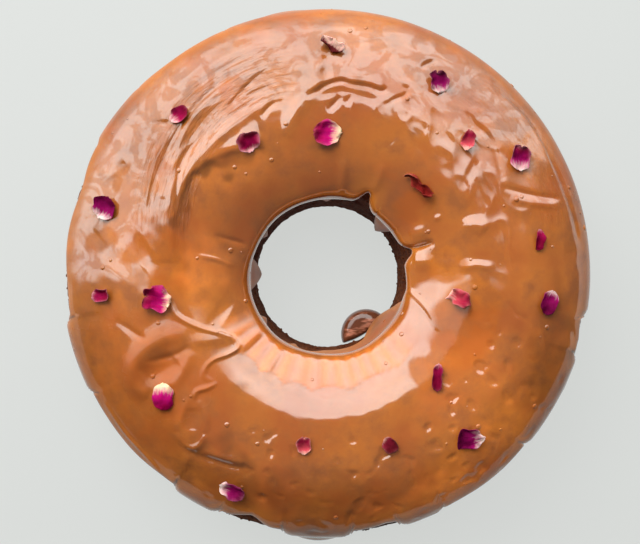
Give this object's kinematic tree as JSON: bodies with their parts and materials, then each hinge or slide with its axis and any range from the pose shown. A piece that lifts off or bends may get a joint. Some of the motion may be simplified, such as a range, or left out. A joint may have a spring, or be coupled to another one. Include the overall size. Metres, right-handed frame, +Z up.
{
  "type": "ring cake",
  "caption": "Ring-shaped chocolate sponge cake with a central hole, glossy poured icing running down in tongues, and scattered rose petals.",
  "frame": {"origin": "middle of the cake's flat underside, on the surface it stands on", "axes": "+Z up through the hole; +X to the right and +Y to the top of the picture, which looks straight down"},
  "size_m": [0.2478, 0.2555, 0.0724],
  "materials": {
    "sponge": "matte",
    "icing": "gloss",
    "icing_drop": "gloss",
    "petal_dark": "satin",
    "petal_purple": "satin",
    "petal_crimson": "satin",
    "petal_magenta": "satin",
    "petal_pink": "satin"
  },
  "bodies": {
    "root": {"sponge": "sponge", "icing": "icing", "icing_drop": "icing_drop", "petal_01": "petal_dark", "petal_02": "petal_purple", "petal_03": "petal_crimson", "petal_04": "petal_crimson", "petal_05": "petal_magenta", "petal_06": "petal_pink", "petal_07": "petal_purple", "petal_08": "petal_dark", "petal_09": "petal_purple", "petal_10": "petal_purple", "petal_11": "petal_dark", "petal_12": "petal_magenta", "petal_13": "petal_pink", "petal_14": "petal_purple", "petal_15": "petal_magenta", "petal_16": "petal_pink", "petal_17": "petal_magenta", "petal_18": "petal_dark", "petal_19": "petal_purple", "petal_20": "petal_purple"}
  },
  "joints": []
}
